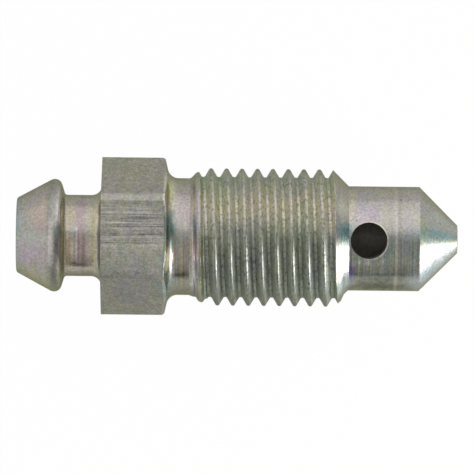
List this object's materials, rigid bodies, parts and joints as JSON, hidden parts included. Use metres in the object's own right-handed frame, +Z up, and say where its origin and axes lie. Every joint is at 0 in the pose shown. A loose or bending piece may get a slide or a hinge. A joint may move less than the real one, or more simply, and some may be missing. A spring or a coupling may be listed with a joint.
{
  "type": "bleeder screw",
  "caption": "Threaded bleeder screw with a wrench hexagon, barbed hose nipple, cross port and conical seat, for venting a hydraulic brake.",
  "frame": {"origin": "on the screw's axis, where the thread reaches its full diameter behind the relief neck", "axes": "+X along the axis towards the seat cone, +Z up out of one flat of the hexagon, with the cross port on that side; the screw lies on the opposite flat"},
  "size_m": [0.0302, 0.0108, 0.0096],
  "materials": {
    "plated_steel": "zinc plated, with a pale iridescent chromate, satin"
  },
  "bodies": {
    "root": {"bleeder_screw": "plated_steel"}
  },
  "joints": []
}
